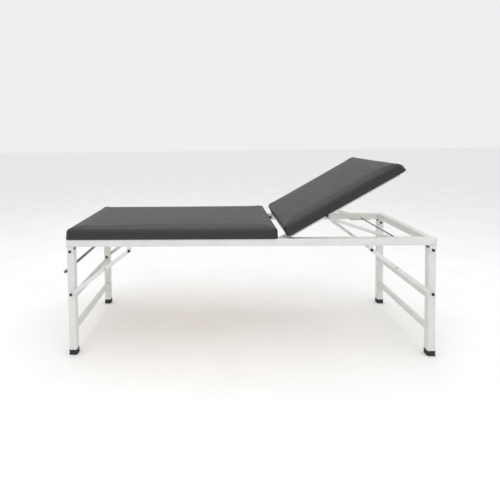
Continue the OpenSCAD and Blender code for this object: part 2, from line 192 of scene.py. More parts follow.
BLACK, WHITE = linear("#000000"), linear("#ffffff")


def powder_coat():
    """Light grey polyester powder coat, baked on steel tube: a soft satin skin with a faint orange peel, a
    little uneven in tone, scuffed to a duller grey on the lower legs where shoes and mops touch it."""
    material, tree, place = start_material("powder_coated_steel")
    patches = add(tree, "TexNoise", {"Vector": place, "Scale": every(60), "Detail": 3})
    tone = add(tree, "ValToRGB", {"Fac": patches}, ((0.35, linear("#d3d5d3")), (0.65, linear("#dadcda"))))
    upright = add(tree, "Mapping", {"Vector": place, "Scale": (1, 1, 0.25)})
    streaks = add(tree, "TexNoise", {"Vector": upright, "Scale": every(9), "Detail": 4})
    scratches = add(tree, "ValToRGB", {"Fac": streaks}, ((0.66, BLACK), (0.70, WHITE)))
    level = add(tree, "SeparateXYZ", {"Vector": place}).outputs["Z"]
    # knocks reach 200 mm up the legs
    near_floor = add(tree, "MapRange", {"Value": level, "From Min": 0.20, "From Max": 0.03})
    scuff = add(tree, "Math", {0: scratches, 1: near_floor}, operation="MULTIPLY")
    worn = add(tree, "MixRGB", {"Fac": scuff, "Color1": tone, "Color2": linear("#9da09e")})
    clouds = add(tree, "TexNoise", {"Vector": place, "Scale": every(25), "Detail": 2})
    satin = add(tree, "MapRange", {"Value": clouds, "To Min": 0.34, "To Max": 0.46})
    # orange peel dimples are about 1 mm; they are drawn at 2 mm so that they show
    peel = add(tree, "TexNoise", {"Vector": place, "Scale": every(2), "Detail": 1})
    dimples = add(tree, "Bump", {"Height": peel, "Distance": 0.03 * MM, "Strength": 0.5})
    surface(tree, {"Base Color": worn, "Roughness": satin, "Normal": dimples, "Metallic": 0.0, "IOR": 1.5})
    return material


def ground_rod():
    """Bare round steel bar, ground and lightly oiled: dark grey with fine marks that run round the bar."""
    material, tree, place = start_material("ground_steel_bar")
    patches = add(tree, "TexNoise", {"Vector": place, "Scale": every(30), "Detail": 3})
    tone = add(tree, "ValToRGB", {"Fac": patches}, ((0.3, linear("#6d6e70")), (0.7, linear("#85868a"))))
    # grinding marks are under 0.1 mm; they are drawn 0.5 mm apart along the bar so that they show
    round_bar = add(tree, "Mapping", {"Vector": place, "Scale": (0.1, 1, 0.1)})
    marks = add(tree, "TexNoise", {"Vector": round_bar, "Scale": every(0.5), "Detail": 2})
    streaky = add(tree, "MapRange", {"Value": marks, "To Min": 0.26, "To Max": 0.42})
    grooves = add(tree, "Bump", {"Height": marks, "Distance": 0.02 * MM, "Strength": 0.4})
    surface(tree, {"Base Color": tone, "Roughness": streaky, "Normal": grooves, "Metallic": 1.0,
                   "Anisotropic": 0.3})
    return material


def zinc_plate():
    """Bright zinc plate on rivets and staples: silvery with a faint cloudy spangle about 3 mm across."""
    material, tree, place = start_material("zinc_plated_steel")
    spangle = add(tree, "TexNoise", {"Vector": place, "Scale": every(3), "Detail": 3})
    tone = add(tree, "ValToRGB", {"Fac": spangle}, ((0.3, linear("#a4a6a8")), (0.7, linear("#c6c8ca"))))
    film = add(tree, "TexNoise", {"Vector": place, "Scale": every(1.5), "Detail": 2})
    hazy = add(tree, "MapRange", {"Value": film, "To Min": 0.25, "To Max": 0.45})
    crystals = add(tree, "TexNoise", {"Vector": place, "Scale": every(0.8), "Detail": 2})
    rough = add(tree, "Bump", {"Height": crystals, "Distance": 0.015 * MM, "Strength": 0.5})
    surface(tree, {"Base Color": tone, "Roughness": hazy, "Normal": rough, "Metallic": 1.0})
    return material


def black_oxide():
    """Blackened steel bolts: near black with a warm oily gloss and rubbed, lighter patches."""
    material, tree, place = start_material("black_oxide_bolts")
    rubbed = add(tree, "TexNoise", {"Vector": place, "Scale": every(2.5), "Detail": 4})
    tone = add(tree, "ValToRGB", {"Fac": rubbed}, ((0.45, linear("#26272a")), (0.75, linear("#4d4c4b"))))
    oil = add(tree, "TexNoise", {"Vector": place, "Scale": every(1.2), "Detail": 2})
    oily = add(tree, "MapRange", {"Value": oil, "To Min": 0.32, "To Max": 0.52})
    scale = add(tree, "TexNoise", {"Vector": place, "Scale": every(0.5), "Detail": 2})
    forged = add(tree, "Bump", {"Height": scale, "Distance": 0.02 * MM, "Strength": 0.5})
    surface(tree, {"Base Color": tone, "Roughness": oily, "Normal": forged, "Metallic": 0.85})
    return material


def upholstery_vinyl():
    """Black PVC-coated cloth stretched over foam: soft satin, with a fine pebbled leather grain pressed into
    it, painted shade darkening the valleys of the grain, and a slightly uneven tone where it is stretched and
    wiped."""
    material, tree, place = start_material("grained_black_vinyl")
    # the pressed pebbles are about 1 mm; they are drawn at 2.2 mm so that they show
    pebbles = add(tree, "TexVoronoi", {"Vector": place, "Scale": every(2.2)}, feature="DISTANCE_TO_EDGE")
    valleys = add(tree, "ValToRGB", {"Fac": pebbles}, ((0.0, BLACK), (0.22, WHITE)))
    stretch = add(tree, "TexNoise", {"Vector": place, "Scale": every(90), "Detail": 3})
    cloudy = add(tree, "ValToRGB", {"Fac": stretch}, ((0.3, linear("#1d1e20")), (0.7, linear("#242527"))))
    # the valleys between the pebbles are painted a darker black: this is painted shade in the grain
    tone = add(tree, "MixRGB", {"Fac": valleys, "Color1": linear("#17181a"), "Color2": cloudy})
    wiping = add(tree, "TexNoise", {"Vector": place, "Scale": every(45), "Detail": 3})
    wiped = add(tree, "MapRange", {"Value": wiping, "To Min": 0.40, "To Max": 0.56})
    pores = add(tree, "TexNoise", {"Vector": place, "Scale": every(0.7), "Detail": 2})
    pressed = add(tree, "MixRGB", {"Fac": 0.35, "Color1": valleys, "Color2": pores})
    leather = add(tree, "Bump", {"Height": pressed, "Distance": 0.10 * MM, "Strength": 0.55})
    surface(tree, {"Base Color": tone, "Roughness": wiped, "Normal": leather, "IOR": 1.5,
                   "Sheen Weight": 0.08, "Sheen Roughness": 0.5, "Sheen Tint": linear("#8a8f94")})
    return material


def birch_plywood(name, turned):
    """Sanded birch plywood: pale tan face veneer, with long grain lines about 4 mm apart along the board and
    a dry, dull surface. The grain is turned with the board."""
    material, tree, place = start_material(name)
    board = add(tree, "Mapping", {"Vector": place, "Rotation": (0, turned, 0)})
    long_lines = add(tree, "Mapping", {"Vector": board, "Scale": (0.04, 1, 1)})
    lines = add(tree, "TexNoise", {"Vector": long_lines, "Scale": every(4), "Detail": 5})
    long_figure = add(tree, "Mapping", {"Vector": board, "Scale": (0.12, 1, 1)})
    figure = add(tree, "TexNoise", {"Vector": long_figure, "Scale": every(35), "Detail": 4})
    veneer = add(tree, "ValToRGB", {"Fac": figure}, ((0.3, linear("#c9a878")), (0.7, linear("#dcc096"))))
    darker = add(tree, "ValToRGB", {"Fac": lines}, ((0.40, (0.35, 0.35, 0.35, 1)), (0.60, BLACK)))
    tone = add(tree, "MixRGB", {"Fac": darker, "Color1": veneer, "Color2": linear("#a8855a")})
    raised = add(tree, "Bump", {"Height": lines, "Distance": 0.05 * MM, "Strength": 0.5})
    surface(tree, {"Base Color": tone, "Normal": raised, "IOR": 1.5, "Roughness": 0.7})
    return material


def tip_rubber():
    """Moulded black rubber: deep matte black with a fine dusty bloom, greyer where it meets the floor."""
    material, tree, place = start_material("moulded_black_rubber")
    dust = add(tree, "TexNoise", {"Vector": place, "Scale": every(5), "Detail": 4})
    bloom = add(tree, "ValToRGB", {"Fac": dust}, ((0.35, linear("#1b1b1c")), (0.75, linear("#2b2b2c"))))
    level = add(tree, "SeparateXYZ", {"Vector": place}).outputs["Z"]
    tread = add(tree, "MapRange", {"Value": level, "From Min": 0.008, "From Max": 0.0})
    tone = add(tree, "MixRGB", {"Fac": tread, "Color1": bloom, "Color2": linear("#4a4947")})
    mould = add(tree, "TexNoise", {"Vector": place, "Scale": every(0.8), "Detail": 2})
    matte = add(tree, "Bump", {"Height": mould, "Distance": 0.04 * MM, "Strength": 0.5})
    surface(tree, {"Base Color": tone, "Normal": matte, "IOR": 1.52, "Roughness": 0.72})
    return material


def cap_plastic():
    """Moulded polyethylene tube caps: light grey, waxy, with a very fine spark-eroded texture."""
    material, tree, place = start_material("moulded_grey_polyethylene")
    flow = add(tree, "TexNoise", {"Vector": place, "Scale": every(12), "Detail": 2})
    tone = add(tree, "ValToRGB", {"Fac": flow}, ((0.3, linear("#b9bab8")), (0.7, linear("#c6c7c5"))))
    eroded = add(tree, "TexNoise", {"Vector": place, "Scale": every(0.6), "Detail": 2})
    waxy = add(tree, "Bump", {"Height": eroded, "Distance": 0.02 * MM, "Strength": 0.5})
    surface(tree, {"Base Color": tone, "Normal": waxy, "IOR": 1.5, "Roughness": 0.5})
    return material


STEEL = powder_coat()
ROD = ground_rod()
ZINC = zinc_plate()
BOLTS = black_oxide()
VINYL = upholstery_vinyl()
SEAT_PLY = birch_plywood("birch_plywood_seat", 0.0)
BACK_PLY = birch_plywood("birch_plywood_back", tilt)
RUBBER = tip_rubber()
PLASTIC = cap_plastic()

# ---------- making pieces ----------


def finish_piece(bm, name, body, material, replaces=(), soft_edge=40):
    """Turns a mesh drawn in millimetres into a piece that rides on a body. Edges sharper than soft_edge, in
    degrees, stay crisp."""
    bmesh.ops.remove_doubles(bm, verts=bm.verts, dist=0.002)
    bmesh.ops.recalc_face_normals(bm, faces=bm.faces)
    bmesh.ops.scale(bm, vec=(MM, MM, MM), verts=bm.verts)
    for face in bm.faces:
        face.smooth = True
    for edge in bm.edges:
        edge.smooth = len(edge.link_faces) == 2 and edge.calc_face_angle(0) < math.radians(soft_edge)
    mesh = bpy.data.meshes.new(name)
    bm.to_mesh(mesh)
    bm.free()
    mesh.materials.append(material)
    piece = bpy.data.objects.new(name, mesh)
    scene.collection.objects.link(piece)
    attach(piece, body)
    if replaces:
        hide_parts(*replaces)
    return piece


def extruded(bm, faces, depth):
    """Pulls faces out along +Z into a closed solid."""
    result = bmesh.ops.extrude_face_region(bm, geom=faces)["geom"]
    bmesh.ops.translate(bm, vec=(0, 0, depth), verts=[v for v in result if isinstance(v, bmesh.types.BMVert)])


def all_of(bm, faces):
    """The vertices of everything joined to some faces."""
    found = {v for f in faces for v in f.verts}
    waiting = list(found)
    while waiting:
        for edge in waiting.pop().link_edges:
            for v in edge.verts:
                if v not in found:
                    found.add(v)
                    waiting.append(v)
    return list(found)


def square_tube(bm, size, wall, radius, length, place):
    """A hollow square tube with rounded corners, from its own origin along +Z."""
    verts = bmesh.ops.create_grid(bm, x_segments=1, y_segments=1, size=size / 2)["verts"]
    rounded = bmesh.ops.bevel(bm, geom=verts, offset=radius, segments=5, profile=0.5,
                              affect="VERTICES", material=-1)["verts"]
    face = rounded[0].link_faces[0]
    ring = bmesh.ops.inset_individual(bm, faces=[face], thickness=wall)["faces"]
    bmesh.ops.delete(bm, geom=[face], context="FACES_ONLY")
    extruded(bm, ring, length)
    bmesh.ops.transform(bm, matrix=place, verts=all_of(bm, [f for f in ring if f.is_valid]))


def slab(bm, x, y, z, place, corners=(), radius=0, rim=0.4):
    """A plate from x[0] to x[1] and so on. The named corners, as (x side, y side), are rounded, and the edges
    of both faces are eased by rim."""
    verts = bmesh.ops.create_cube(bm, size=1, matrix=Matrix.Translation(
        ((x[0] + x[1]) / 2, (y[0] + y[1]) / 2, (z[0] + z[1]) / 2)) @ Matrix.Diagonal(
        (x[1] - x[0], y[1] - y[0], z[1] - z[0], 1)))["verts"]
    keep = set(bm.verts) - set(verts)
    middle_x, middle_y = (x[0] + x[1]) / 2, (y[0] + y[1]) / 2
    edges = {e for v in verts for e in v.link_edges}
    uprights = [e for e in edges if abs(e.verts[0].co.z - e.verts[1].co.z) > 1e-6
                and (int(e.verts[0].co.x > middle_x), int(e.verts[0].co.y > middle_y)) in corners]
    if uprights:
        bmesh.ops.bevel(bm, geom=uprights, offset=radius, segments=10, profile=0.5, affect="EDGES",
                        material=-1)
    mine = [v for v in bm.verts if v not in keep]
    rims = list({e for v in mine for e in v.link_edges if e.calc_face_angle(0) > math.radians(60)})
    if rim:
        bmesh.ops.bevel(bm, geom=rims, offset=rim, segments=2, profile=0.5, affect="EDGES", material=-1)
    bmesh.ops.transform(bm, matrix=place, verts=[v for v in bm.verts if v not in keep])


def turned(bm, x, y, profile, place, steps=32):
    """A turned pin along +Z: its profile is (radius, z) pairs that start and end on the axis."""
    keep = set(bm.verts)
    line = [bm.verts.new((r, 0, z)) for r, z in profile]
    edges = [bm.edges.new(pair) for pair in zip(line, line[1:])]
    bmesh.ops.spin(bm, geom=line + edges, axis=(0, 0, 1), cent=(0, 0, 0), angle=math.tau, steps=steps,
                   use_merge=True)
    mine = [v for v in bm.verts if v not in keep]
    bmesh.ops.remove_doubles(bm, verts=mine, dist=0.002)
    mine = [v for v in bm.verts if v not in keep]
    bmesh.ops.transform(bm, matrix=place @ Matrix.Translation((x, y, 0)), verts=mine)


def pin(bm, x, y, inner, outer_end, d, place, ease=0.5):
    """A plain round pin or spacer with eased rims."""
    r = d / 2
    turned(bm, x, y, [(0, inner), (r - ease, inner), (r, inner + ease), (r, outer_end - ease),
                      (r - ease, outer_end), (0, outer_end)], place)


def threaded_end(bm, x, y, inner, outer_end, d, place, length=9):
    """A bolt shank whose inner end is threaded."""
    r, pitch = d / 2, 1.25
    profile = [(0, inner), (r - 1.0, inner)]
    for i in range(int(length / pitch)):
        profile += [(r, inner + (i + 0.5) * pitch), (r - 0.55, inner + (i + 1) * pitch)]
    profile += [(r, inner + length + 0.6), (r, outer_end), (0, outer_end)]
    turned(bm, x, y, profile, place)


def domed_head(bm, x, y, face_at, rise, d, place):
    """A rivet head that stands out from face_at by rise, which is negative towards the middle."""
    r = d / 2
    profile = [(0, face_at), (r * 0.96, face_at), (r, face_at + rise * 0.14)]
    profile += [(r * math.cos(math.radians(a)), face_at + rise * (0.14 + 0.86 * math.sin(math.radians(a))))
                for a in range(15, 90, 15)] + [(0, face_at + rise)]
    turned(bm, x, y, profile, place)


def hexagon(bm, x, y, inner, outer_end, af, place, turn=0.0):
    """A hexagon head or nut, given across its flats, with bevelled rims."""
    keep = set(bm.verts)
    ring = bmesh.ops.create_circle(bm, cap_ends=True, segments=6, radius=af / math.sqrt(3))["verts"]
    extruded(bm, list(ring[0].link_faces), outer_end - inner)
    mine = [v for v in bm.verts if v not in keep]
    edges = list({e for v in mine for e in v.link_edges})
    rims = [e for e in edges if abs(e.verts[0].co.z - e.verts[1].co.z) < 1e-6]
    bmesh.ops.bevel(bm, geom=rims, offset=0.8, segments=2, profile=0.5, affect="EDGES", material=-1)
    mine = [v for v in bm.verts if v not in keep]
    bmesh.ops.transform(bm, matrix=place @ Matrix.Translation((x, y, inner)) @ Matrix.Rotation(turn, 4, "Z"),
                        verts=mine)


# ---------- square tubes ----------


def along(axis, start):
    """A matrix that lays +Z along an axis, from a start point."""
    turn = {"X": Matrix.Rotation(math.radians(90), 4, "Y"), "Y": Matrix.Rotation(math.radians(-90), 4, "X"),
            "Z": Matrix.Identity(4)}[axis]
    return Matrix.Translation(start) @ turn


def box_middle(node):
    return (low(node) + high(node)) / 2


def rails():
    """The four rails of the couch frame, mitred where they meet."""
    for side in SIDES:
        node, bm = "side_rail_" + side, bmesh.new()
        mid = box_middle(node)
        square_tube(bm, rail_size, *HEAVY_TUBE, high(node).x - low(node).x,
                    along("X", (low(node).x, mid.y, mid.z)))
        for end in (low(node).x, high(node).x):
            inward = 1 if end == low(node).x else -1
            cut = (end, math.copysign(rail_half, mid.y), mid.z)
            mitre(bm, cut, Vector((-inward, -math.copysign(1, mid.y), 0)))
        finish_piece(bm, node + "_tube", "frame", STEEL, [node])
    for end in ENDS:
        node, bm = "end_rail_" + end, bmesh.new()
        mid = box_middle(node)
        square_tube(bm, rail_size, *HEAVY_TUBE, 2 * rail_half, along("Y", (mid.x, low(node).y, mid.z)))
        outwards = 1 if end == "head" else -1
        for y in (-rail_half, rail_half):
            cut = (high(node).x if end == "head" else low(node).x, y, mid.z)
            mitre(bm, cut, Vector((outwards, math.copysign(1, y), 0)), keep_inside=True)
        finish_piece(bm, node + "_tube", "frame", STEEL, [node])


def mitre(bm, point, corner_direction, keep_inside=False):
    """Cuts a tube at 45 degrees through a frame corner. The side rails lose the part towards the ends of the
    couch, and the end rails lose the part towards its sides."""
    x, y = corner_direction.x, corner_direction.y
    normal = Vector((x, -y, 0)) if not keep_inside else Vector((-x, y, 0))
    cut = bmesh.ops.bisect_plane(bm, geom=bm.verts[:] + bm.edges[:] + bm.faces[:], dist=0.001, plane_co=point,
                                 plane_no=normal, clear_outer=True)["geom_cut"]
    edges = [e for e in cut if isinstance(e, bmesh.types.BMEdge) and len(e.link_faces) == 1]
    bmesh.ops.bridge_loops(bm, edges=edges)


def plain_tubes():
    """Cross rails, leg crossbars and the backrest's tubes."""
    across = {"cross_rail_mid": "frame", "cross_rail_hinge": "frame",
              "crossbar_foot_upper": "foot_legs", "crossbar_foot_lower": "foot_legs",
              "crossbar_head_upper": "head_legs", "crossbar_head_lower": "head_legs"}
    for node, body in across.items():
        bm, mid = bmesh.new(), box_middle(node)
        square_tube(bm, high(node).x - low(node).x, *LIGHT_TUBE, high(node).y - low(node).y,
                    along("Y", (mid.x, low(node).y, mid.z)))
        finish_piece(bm, node + "_tube", body, STEEL, [node])
    for side in SIDES:
        bm = bmesh.new()
        square_tube(bm, back_tube, *LIGHT_TUBE, back_ends[1] - back_ends[0], on_backrest() @ along(
            "X", (back_ends[0], (back_outer - back_tube / 2) * (1 if side == "far" else -1), 0)))
        node = "back_tube_" + side
        finish_piece(bm, node + "_tube", "backrest", STEEL, [node])
    inside = back_outer - back_tube
    for node in ("back_cross_lower", "back_cross_upper"):
        bm, mid = bmesh.new(), box_middle(node)
        flat = on_backrest().inverted() @ mid
        square_tube(bm, back_tube, *LIGHT_TUBE, 2 * inside, on_backrest() @ along("Y", (flat.x, -inside, 0)))
        finish_piece(bm, node + "_tube", "backrest", STEEL, [node])


def legs():
    """Leg tubes. The inner top corner is cut round the pivot so that it clears the bracket."""
    for end in ENDS:
        for side in SIDES:
            node, bm = "leg_%s_%s" % (end, side), bmesh.new()
            square_tube(bm, leg_size, *HEAVY_TUBE, high(node).z - low(node).z,
                        Matrix.Translation((0, 0, low(node).z)))
            flats = 8  # the round is cut in this many flats
            for i in range(flats):
                a = math.radians(90 + (i + 0.5) * 90 / flats)
                flat = Vector((math.cos(a), 0, math.sin(a)))
                near_cut = Vector((0, 0, pivot_z)) + flat * leg_size / 2
                cut = bmesh.ops.bisect_plane(
                    bm, geom=bm.verts[:] + bm.edges[:] + bm.faces[:], dist=0.001, plane_co=near_cut,
                    plane_no=flat, clear_outer=True)["geom_cut"]
                edges = [e for e in cut if isinstance(e, bmesh.types.BMEdge) and len(e.link_faces) == 1]
                if two_loops(edges):
                    bmesh.ops.bridge_loops(bm, edges=edges)
                elif edges:
                    bmesh.ops.edgenet_fill(bm, edges=edges)
            mirror = Matrix.Diagonal((-1 if end == "foot" else 1, 1, 1, 1))
            y = leg_y if side == "far" else -leg_y
            place = placed() @ mirror @ Matrix.Translation((leg_x, y, 0))
            bmesh.ops.transform(bm, matrix=place, verts=bm.verts)
            finish_piece(bm, node + "_tube", end + "_legs", STEEL, [node])


def two_loops(edges):
    """Whether some edges make two closed loops, one inside the other."""
    left, loops = set(edges), 0
    while left:
        loops += 1
        stack = [left.pop()]
        while stack:
            for v in stack.pop().verts:
                for e in v.link_edges:
                    if e in left:
                        left.remove(e)
                        stack.append(e)
    return loops == 2


# ---------- plates, links and blocks ----------


def leg_brackets():
    """U brackets folded from 3 mm plate, with a bend radius at the web and round ears."""
    ear_outer, ear_inner = outer("leg_bracket_head_near"), -high("leg_bracket_head_near").y
    half = (high("leg_bracket_head_near").x - low("leg_bracket_head_near").x) / 2
    plate, bend = 3, 1.6
    for end in ENDS:
        for side in SIDES:
            bm = bmesh.new()
            mid_y, span = (ear_outer + ear_inner) / 2, (ear_outer - ear_inner - plate) / 2
            bmesh.ops.create_grid(bm, x_segments=1, y_segments=1, size=1, matrix=Matrix.Translation(
                (leg_x, rail_low - plate / 2, mid_y)) @ Matrix.Rotation(math.radians(90), 4, "X")
                @ Matrix.Diagonal((half, span, 1, 1)))
            sides = [e for e in bm.edges if abs(e.verts[0].co.z - e.verts[1].co.z) < 1e-6]
            down = bmesh.ops.extrude_edge_only(bm, edges=sides)["geom"]
            ears = [v for v in down if isinstance(v, bmesh.types.BMVert)]
            bmesh.ops.translate(bm, vec=(0, pivot_z - half - rail_low + plate / 2, 0), verts=ears)
            bends = [e for e in bm.edges if len(e.link_faces) == 2]
            bmesh.ops.bevel(bm, geom=bends, offset=bend, segments=4, profile=0.5, affect="EDGES", material=-1)
            lower = [v for v in bm.verts if v.co.y < pivot_z]
            bmesh.ops.bevel(bm, geom=lower, offset=half * 0.98, segments=10, profile=0.5, affect="VERTICES",
                            material=-1)
            bmesh.ops.recalc_face_normals(bm, faces=bm.faces)
            thick(bm, plate)
            bmesh.ops.transform(bm, matrix=corner(end, side), verts=bm.verts)
            node = "leg_bracket_%s_%s" % (end, side)
            finish_piece(bm, node + "_folded", "frame", STEEL, [node])


def thick(bm, wall):
    """Gives an open sheet its thickness, half to each side."""
    bm.normal_update()
    for v in bm.verts:
        v.co += v.normal * wall / 2
    bmesh.ops.solidify(bm, geom=bm.faces[:], thickness=wall)


def braces():
    """The folding braces: two flat links for each leg, with round ends."""
    lower_y = outer("lower_link_head_near") - FLAT_BAR, outer("lower_link_head_near")
    upper_y = outer("upper_link_head_near") - FLAT_BAR, outer("upper_link_head_near")
    half_link = 10
    turn_up = Matrix.Rotation(brace_angle, 4, "Z")
    turn_down = Matrix.Rotation(brace_angle + math.pi, 4, "Z")
    for end in ENDS:
        for side in SIDES:
            for name, x, y, turn, length, depth in (
                    ("lower_link", brace_x, brace_z, turn_up, lower_link, lower_y),
                    ("upper_link", lug_x, lug_z, turn_down, brace_span - lower_link, upper_y)):
                bm = bmesh.new()
                slab(bm, (-half_link, length + half_link), (-half_link, half_link), depth,
                     corner(end, side) @ Matrix.Translation((x, y, 0)) @ turn, ALL_CORNERS, half_link - 0.01)
                node = "%s_%s_%s" % (name, end, side)
                finish_piece(bm, node + "_bar", "%s_%ss" % (end, name), STEEL, [node])


def brace_lugs():
    """The plates under the side rails that the upper brace links turn on."""
    bm = bmesh.new()
    for end in ENDS:
        for side in SIDES:
            slab(bm, (lug_x - 11, lug_x + 11), (lug_z - 11, rail_low + 10), (rail_half + 0.6, rail_half + 4),
                 corner(end, side), ((0, 0), (1, 0)), 10.9)
            weld_run(bm, [(lug_x - 11, rail_low + 10, rail_half), (lug_x + 11, rail_low + 10, rail_half)],
                     1.6, corner(end, side))
    finish_piece(bm, "brace_lug_plates", "frame", STEEL, ["brace_lugs"])


def prop_lugs():
    """The plates on the backrest's side tubes that the prop arms turn on."""
    bm = bmesh.new()
    at = on_backrest().inverted() @ Vector((prop_x + middle, 0, prop_z))
    for side in SIDES:
        slab(bm, (at.x - 8.5, at.x + 8.5), (at.z - 8.5, 0), (back_outer, back_outer + 3), back_side(side),
             ((0, 0), (1, 0)), 8.4)
        slab(bm, (at.x - 13, at.x + 13), (-11.5, 5), (back_outer, back_outer + 3), back_side(side),
             ((0, 1), (1, 1)), 3)
        weld_run(bm, [(at.x - 13, 5, back_outer), (at.x + 13, 5, back_outer)], 1.5, back_side(side))
    finish_piece(bm, "prop_lug_plates", "backrest", STEEL, ["prop_lugs"])


def eased_copy(node, rim):
    """A copy of a flat plate with its flats made whole and its cut edges eased."""
    bm = bmesh.new()
    bm.from_mesh(frame["nodes"][node].data)
    bmesh.ops.scale(bm, vec=(1 / MM, 1 / MM, 1 / MM), verts=bm.verts)
    bmesh.ops.remove_doubles(bm, verts=bm.verts, dist=0.005)
    bmesh.ops.dissolve_limit(bm, angle_limit=math.radians(1), verts=bm.verts, edges=bm.edges)
    edges = [e for e in bm.edges if e.calc_face_angle(0) > math.radians(50)]
    bmesh.ops.bevel(bm, geom=edges, offset=rim, segments=2, profile=0.5, affect="EDGES", material=-1)
    return bm


def racks_and_arms():
    """The notched racks under the side rails, and the prop arms whose rod rests in them."""
    arm_y = outer("prop_arm_near") - FLAT_BAR, outer("prop_arm_near")
    rod = box_middle("prop_rod")
    length = math.hypot(rod.x - middle - prop_x, rod.z - prop_z)
    turn = Matrix.Rotation(math.atan2(rod.z - prop_z, rod.x - middle - prop_x), 4, "Z")
    half_arm = 8.5
    for side in SIDES:
        bm = eased_copy("prop_rack_" + side, 0.25)
        finish_piece(bm, "prop_rack_%s_plate" % side, "frame", STEEL, ["prop_rack_" + side])
        bm = bmesh.new()
        slab(bm, (-half_arm, length + half_arm), (-half_arm, half_arm), arm_y,
             corner("head", side) @ Matrix.Translation((prop_x, prop_z, 0)) @ turn, ALL_CORNERS,
             half_arm - 0.01)
        finish_piece(bm, "prop_arm_%s_bar" % side, "prop", STEEL, ["prop_arm_" + side])


def rods():
    """The prop's rod, and the paper roll bar on its two saddles."""
    rod, reach = box_middle("prop_rod"), outer("prop_rod")
    bm = bmesh.new()
    pin(bm, rod.x - middle, rod.z, -reach, reach, 8, corner("head", "near"), 0.8)
    finish_piece(bm, "prop_rod_bar", "prop", ROD, ["prop_rod"])
    bar, reach = box_middle("roll_bar"), outer("roll_bar")
    bm = bmesh.new()
    pin(bm, middle - bar.x, bar.z, -reach, reach, 16, corner("foot", "near"), 1.2)
    finish_piece(bm, "paper_roll_bar", "foot_legs", ROD, ["roll_bar"])
    bm = bmesh.new()
    saddle_x, block = leg_x + leg_size / 2, 8
    for side in SIDES:
        slab(bm, (saddle_x, middle - bar.x), (bar.z - block, bar.z + block), (leg_y - block, leg_y + block),
             corner("foot", side), ((1, 0), (1, 1)), 0.1, rim=0.6)
    finish_piece(bm, "roll_bar_saddle_blocks", "foot_legs", STEEL, ["roll_bar_saddles"])


# ---------- bolts and rivets ----------


def fasteners():
    """Every bolt, nut, stud and rivet. All the bolts are 8 mm and the backrest hinge studs 10 mm."""
    across, head, nut, showing = 13, 5.3, 6.5, 1
    ear_in, ear_out = -high("leg_bracket_head_near").y, outer("leg_bracket_head_near")
    lower_out, upper_out = outer("lower_link_head_near"), outer("upper_link_head_near")
    leg_in, leg_out = -high("leg_head_near").y, outer("leg_head_near")
    bm = bmesh.new()
    for i, (end, side) in enumerate((e, s) for e in ENDS for s in SIDES):
        place = corner(end, side)
        threaded_end(bm, leg_x, pivot_z, ear_in - nut - showing, ear_out, 8, place)
        hexagon(bm, leg_x, pivot_z, ear_in - nut, ear_in, across, place, 0.3 + i)
        hexagon(bm, leg_x, pivot_z, ear_out, ear_out + head, across, place, 0.7 * i)
    finish_piece(bm, "leg_pivot_bolts_and_nuts", "frame", BOLTS, ["leg_pivot_bolts"], 25)
    bm = bmesh.new()
    for i, (end, side) in enumerate((e, s) for e in ENDS for s in SIDES):
        place = corner(end, side)
        pin(bm, lug_x, lug_z, rail_half + 0.6, upper_out + GAP, 8, place)
        pin(bm, lug_x, lug_z, rail_half + 4, upper_out - FLAT_BAR - GAP, 14, place)
        hexagon(bm, lug_x, lug_z, upper_out + GAP, upper_out + GAP + head, across, place, 0.4 + i)
    finish_piece(bm, "brace_pivot_shoulder_bolts", "frame", BOLTS, ["brace_pivot_studs"], 25)
    for end in ENDS:
        bm = bmesh.new()
        for i, side in enumerate(SIDES):
            place = corner(end, side)
            threaded_end(bm, brace_x, brace_z, leg_in - nut - showing, lower_out + GAP, 8, place)
            pin(bm, brace_x, brace_z, leg_out, lower_out - FLAT_BAR - GAP, 16, place)
            hexagon(bm, brace_x, brace_z, leg_in - nut, leg_in, across, place, 0.2 + i)
            hexagon(bm, brace_x, brace_z, lower_out + GAP, lower_out + GAP + head, across, place, 0.5 + i)
        finish_piece(bm, "brace_bolts_and_nuts_" + end, end + "_legs", BOLTS,
                     ["brace_bolts_" + end], 25)
        for half, link, node, shank, face_at, rise in (
                ("inner", "_lower_links", "knee_rivets_", (lower_out - 5.5, lower_out), lower_out - FLAT_BAR,
                 -1.8),
                ("outer", "_upper_links", "knee_caps_", (upper_out - FLAT_BAR, upper_out), upper_out, 1.8)):
            bm = bmesh.new()
            for side in SIDES:
                pin(bm, knee_x, knee_z, *shank, 6, corner(end, side), 0.2)
                domed_head(bm, knee_x, knee_z, face_at, rise, 12, corner(end, side))
            finish_piece(bm, "knee_rivets_%s_%s" % (half, end), end + link, ZINC,
                         [node + end])
    bm = bmesh.new()
    rail_in = rail_half - rail_size
    tube_in = back_outer - back_tube - GAP
    for side in SIDES:
        place = corner("head", side)
        threaded_end(bm, hinge_x, hinge_z, tube_in - nut - showing, rail_in, 10, place)
        pin(bm, hinge_x, hinge_z, back_outer + GAP, rail_in, 18, place)
        hexagon(bm, hinge_x, hinge_z, tube_in - nut, tube_in, 17, place, 0.35)
    finish_piece(bm, "backrest_hinge_studs_and_nuts", "frame", BOLTS,
                 ["backrest_hinge_studs"], 25)
    bm = bmesh.new()
    arm_out = outer("prop_arm_near")
    at = on_backrest().inverted() @ Vector((prop_x + middle, 0, prop_z))
    for side in SIDES:
        pin(bm, at.x, at.z, back_outer - 2, arm_out + 2 * GAP, 8, back_side(side), 0.2)
        domed_head(bm, at.x, at.z, back_outer, -2.5, 12, back_side(side))
        domed_head(bm, at.x, at.z, arm_out + GAP, 2.5, 12, back_side(side))
    finish_piece(bm, "prop_rivets", "backrest", ZINC, ["prop_pivot_rivets"])


# ---------- welds and caps ----------


